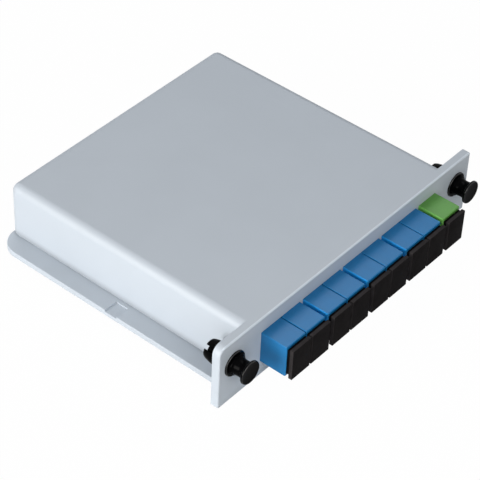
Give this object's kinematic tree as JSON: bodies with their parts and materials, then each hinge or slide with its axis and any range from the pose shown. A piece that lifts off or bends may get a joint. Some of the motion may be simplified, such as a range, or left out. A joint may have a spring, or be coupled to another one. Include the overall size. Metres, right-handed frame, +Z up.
{
  "type": "plc fibre splitter",
  "caption": "Slide-in cassette fibre splitter: grey box with a wide front panel, a row of capped blue SC adapters and a green one, and a push latch at each end.",
  "frame": {"origin": "centre of the base tray's underside", "axes": "+X along the front panel towards the green adapter, +Y from the panel to the back of the box, +Z up from the base"},
  "size_m": [0.13, 0.1149, 0.0246],
  "materials": {
    "housing": "fine satin moulded grey",
    "adapter_blue": "smooth moulded blue",
    "adapter_green": "smooth moulded green",
    "cap": "satin black",
    "latch": "glossy black",
    "insert": "natural white",
    "ceramic": "polished white",
    "connector": "smooth blue",
    "connector_green": "smooth green",
    "steel": "zinc plated",
    "module": "satin tube",
    "boot": "soft black",
    "fibre": "white jacket"
  },
  "bodies": {
    "housing": {"housing_shell": "housing", "base_tray": "housing", "base_screws": "steel", "adapter_1": "adapter_blue", "adapter_2": "adapter_blue", "adapter_3": "adapter_blue", "adapter_4": "adapter_blue", "adapter_5": "adapter_blue", "adapter_6": "adapter_blue", "adapter_7": "adapter_blue", "adapter_8": "adapter_blue", "adapter_9": "adapter_green", "adapter_insert_1": "insert", "adapter_insert_2": "insert", "adapter_insert_3": "insert", "adapter_insert_4": "insert", "adapter_insert_5": "insert", "adapter_insert_6": "insert", "adapter_insert_7": "insert", "adapter_insert_8": "insert", "adapter_insert_9": "insert", "alignment_sleeves": "ceramic", "inner_connector_1": "connector", "inner_connector_2": "connector", "inner_connector_3": "connector", "inner_connector_4": "connector", "inner_connector_5": "connector", "inner_connector_6": "connector", "inner_connector_7": "connector", "inner_connector_8": "connector", "inner_connector_9": "connector_green", "ferrules": "ceramic", "latch_grommet_left": "latch", "latch_grommet_right": "latch", "splitter_module": "module", "module_boot_input": "boot", "module_boot_output": "boot", "output_fibre_1": "fibre", "output_fibre_2": "fibre", "output_fibre_3": "fibre", "output_fibre_4": "fibre", "output_fibre_5": "fibre", "output_fibre_6": "fibre", "output_fibre_7": "fibre", "output_fibre_8": "fibre", "input_fibre": "fibre"},
    "cap_1": {"dust_cap_1": "cap"},
    "cap_2": {"dust_cap_2": "cap"},
    "cap_3": {"dust_cap_3": "cap"},
    "cap_4": {"dust_cap_4": "cap"},
    "cap_5": {"dust_cap_5": "cap"},
    "cap_6": {"dust_cap_6": "cap"},
    "cap_7": {"dust_cap_7": "cap"},
    "cap_8": {"dust_cap_8": "cap"},
    "cap_9": {"dust_cap_9": "cap"},
    "left_latch": {"latch_plunger_left": "latch"},
    "right_latch": {"latch_plunger_right": "latch"}
  },
  "joints": [
    {"name": "pull_cap_1", "type": "slide", "parent": "housing", "child": "cap_1", "axis": [0, -1, 0], "range_m": [0, 0.02]},
    {"name": "pull_cap_2", "type": "slide", "parent": "housing", "child": "cap_2", "axis": [0, -1, 0], "range_m": [0, 0.02]},
    {"name": "pull_cap_3", "type": "slide", "parent": "housing", "child": "cap_3", "axis": [0, -1, 0], "range_m": [0, 0.02]},
    {"name": "pull_cap_4", "type": "slide", "parent": "housing", "child": "cap_4", "axis": [0, -1, 0], "range_m": [0, 0.02]},
    {"name": "pull_cap_5", "type": "slide", "parent": "housing", "child": "cap_5", "axis": [0, -1, 0], "range_m": [0, 0.02]},
    {"name": "pull_cap_6", "type": "slide", "parent": "housing", "child": "cap_6", "axis": [0, -1, 0], "range_m": [0, 0.02]},
    {"name": "pull_cap_7", "type": "slide", "parent": "housing", "child": "cap_7", "axis": [0, -1, 0], "range_m": [0, 0.02]},
    {"name": "pull_cap_8", "type": "slide", "parent": "housing", "child": "cap_8", "axis": [0, -1, 0], "range_m": [0, 0.02]},
    {"name": "pull_cap_9", "type": "slide", "parent": "housing", "child": "cap_9", "axis": [0, -1, 0], "range_m": [0, 0.02]},
    {"name": "release_left_latch", "type": "slide", "parent": "housing", "child": "left_latch", "axis": [0, -1, 0], "range_m": [0, 0.005]},
    {"name": "release_right_latch", "type": "slide", "parent": "housing", "child": "right_latch", "axis": [0, -1, 0], "range_m": [0, 0.005]}
  ]
}
